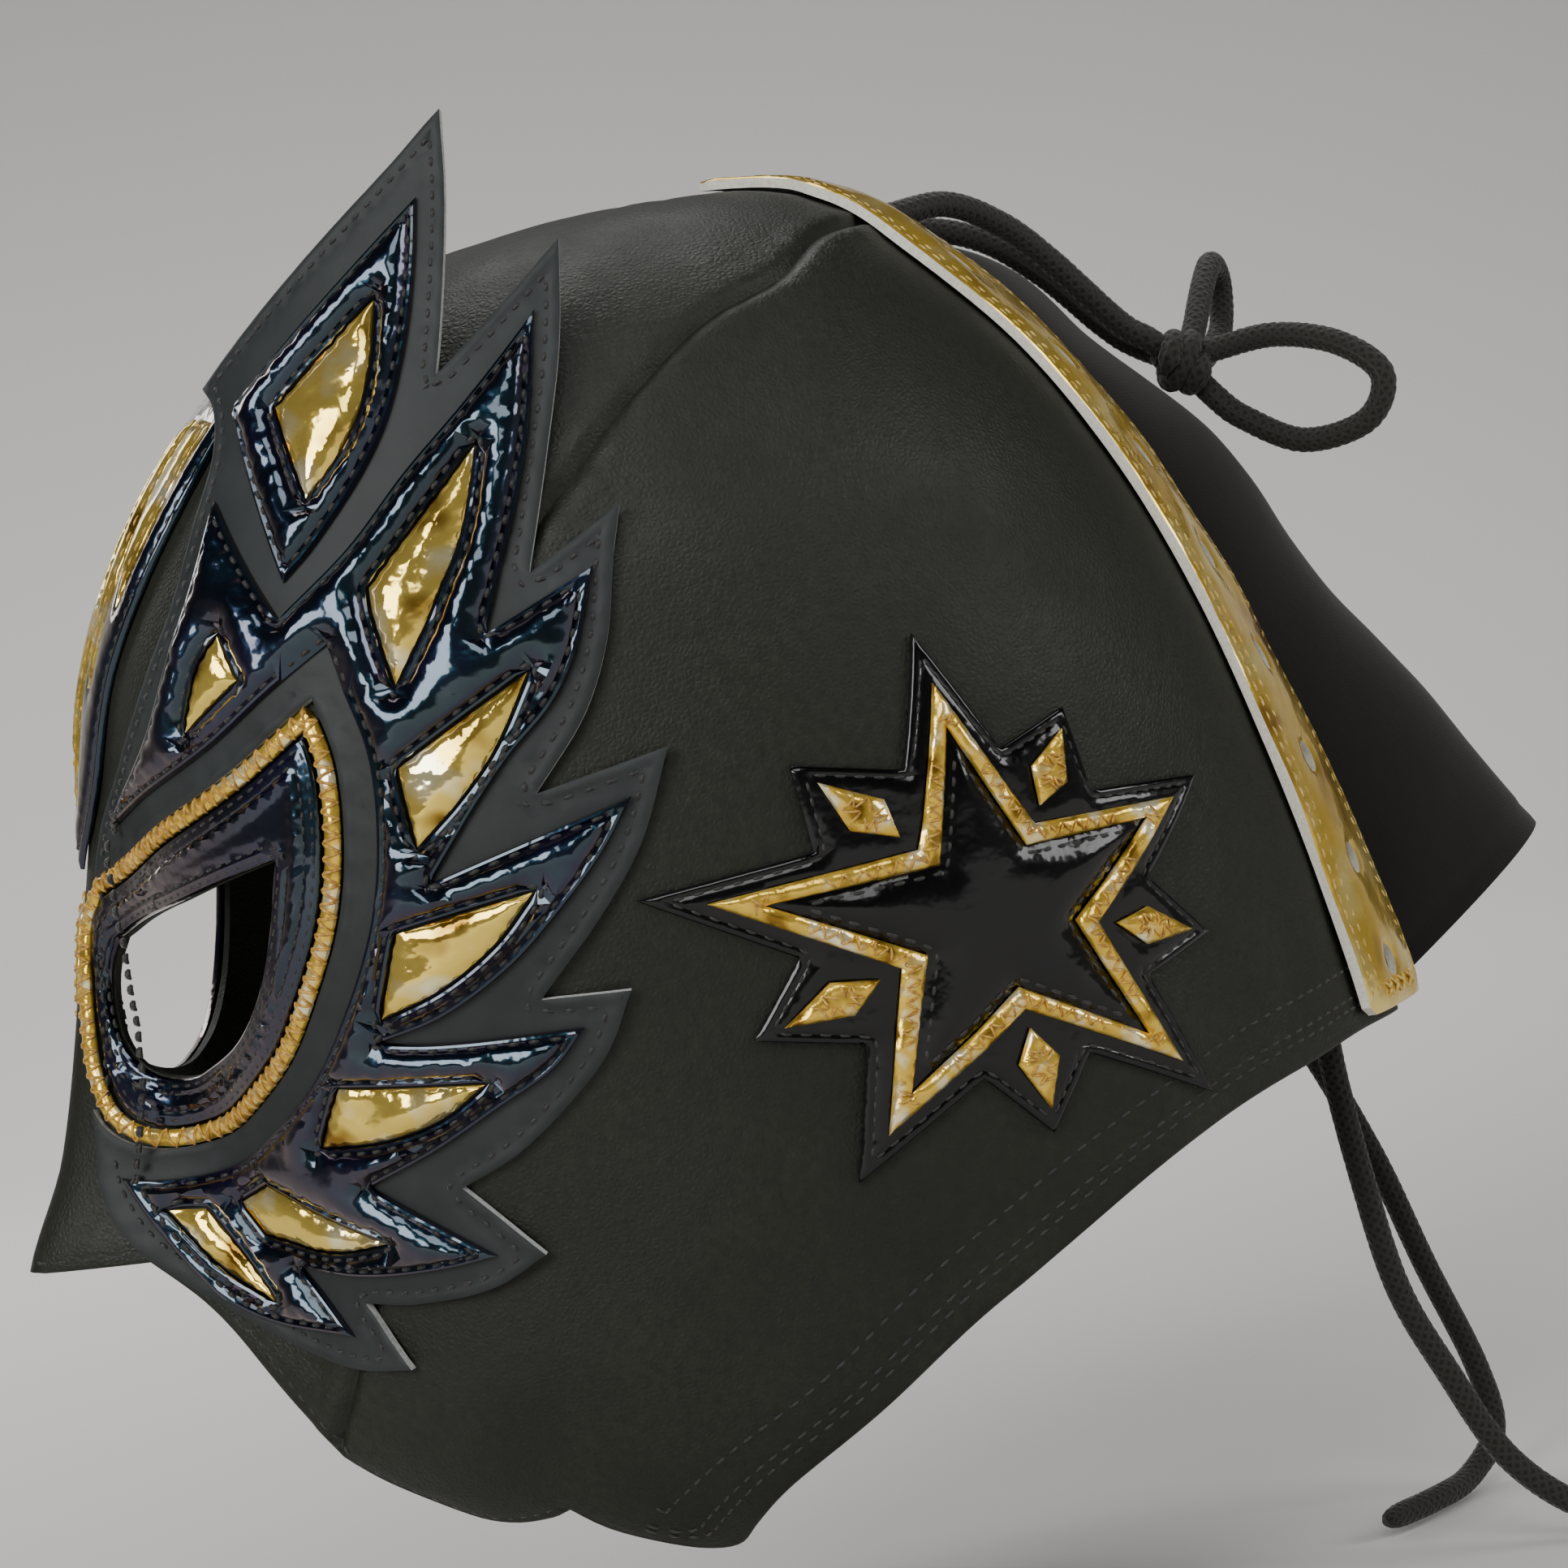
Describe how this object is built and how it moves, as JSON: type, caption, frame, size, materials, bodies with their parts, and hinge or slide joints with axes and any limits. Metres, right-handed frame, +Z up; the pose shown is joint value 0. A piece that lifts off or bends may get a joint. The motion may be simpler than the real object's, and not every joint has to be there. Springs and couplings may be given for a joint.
{
  "type": "wrestling mask",
  "caption": "Laced wrestling mask with padded flame appliques round the eyes, gold inlays, star patches, gold lacing strips, a cloth tongue and braided laces.",
  "frame": {"origin": "crown of the head inside the hood, on the outside of the hood's top", "axes": "+Z up, the face looks along -Y, +X is the wearer's left"},
  "size_m": [0.1612, 0.2754, 0.2648],
  "materials": {
    "hood_leather": "matte olive black coated leather",
    "flame_vinyl": "matte charcoal vinyl with raw cut edges",
    "patent": "padded blue black patent vinyl",
    "star_patent": "black patent vinyl",
    "gold_foil": "mirror gold foil",
    "gold_piping": "gold foil crossed by zigzag stitches",
    "gold_strip": "gold foil strip with yellow stitching and white raw edges",
    "tongue_cloth": "brown black cloth",
    "braid": "black braided lace"
  },
  "bodies": {
    "root": {"flame_backing_left": "flame_vinyl", "flame_backing_right": "flame_vinyl", "horn_patent_left": "patent", "horn_patent_right": "patent", "flame_patent_left": "patent", "flame_patent_right": "patent", "gold_inlay_1_left": "gold_foil", "gold_inlay_1_right": "gold_foil", "gold_inlay_2_left": "gold_foil", "gold_inlay_2_right": "gold_foil", "gold_inlay_3_left": "gold_foil", "gold_inlay_3_right": "gold_foil", "gold_inlay_4_left": "gold_foil", "gold_inlay_4_right": "gold_foil", "gold_inlay_5_left": "gold_foil", "gold_inlay_5_right": "gold_foil", "gold_inlay_6_left": "gold_foil", "gold_inlay_6_right": "gold_foil", "gold_inlay_7_left": "gold_foil", "gold_inlay_7_right": "gold_foil", "gold_inlay_8_left": "gold_foil", "gold_inlay_8_right": "gold_foil", "eye_piping_left": "gold_piping", "eye_piping_right": "gold_piping", "eye_ring_left": "patent", "eye_ring_right": "patent", "crest_bar_1_left": "gold_piping", "crest_bar_1_right": "gold_piping", "crest_bar_2_left": "gold_piping", "crest_bar_2_right": "gold_piping", "star_backing_left": "star_patent", "star_backing_right": "star_patent", "star_outline_left": "gold_piping", "star_outline_right": "gold_piping", "star_ray_1_left": "gold_piping", "star_ray_1_right": "gold_piping", "star_ray_2_left": "gold_piping", "star_ray_2_right": "gold_piping", "star_ray_3_left": "gold_piping", "star_ray_3_right": "gold_piping", "star_ray_4_left": "gold_piping", "star_ray_4_right": "gold_piping", "star_ray_5_left": "gold_piping", "star_ray_5_right": "gold_piping", "lacing_strip_left": "gold_strip", "lacing_strip_right": "gold_strip", "lace_strand_left": "braid", "lace_strand_right": "braid", "hood_face_left": "hood_leather", "hood_face_right": "hood_leather", "hood_side_left": "hood_leather", "hood_side_right": "hood_leather", "crest_base": "patent", "crest_lancet": "gold_piping", "tongue": "tongue_cloth", "bow_knot": "braid", "bow_loop_left": "braid", "bow_loop_right": "braid", "lace_end_left": "braid", "lace_end_right": "braid"}
  },
  "joints": []
}
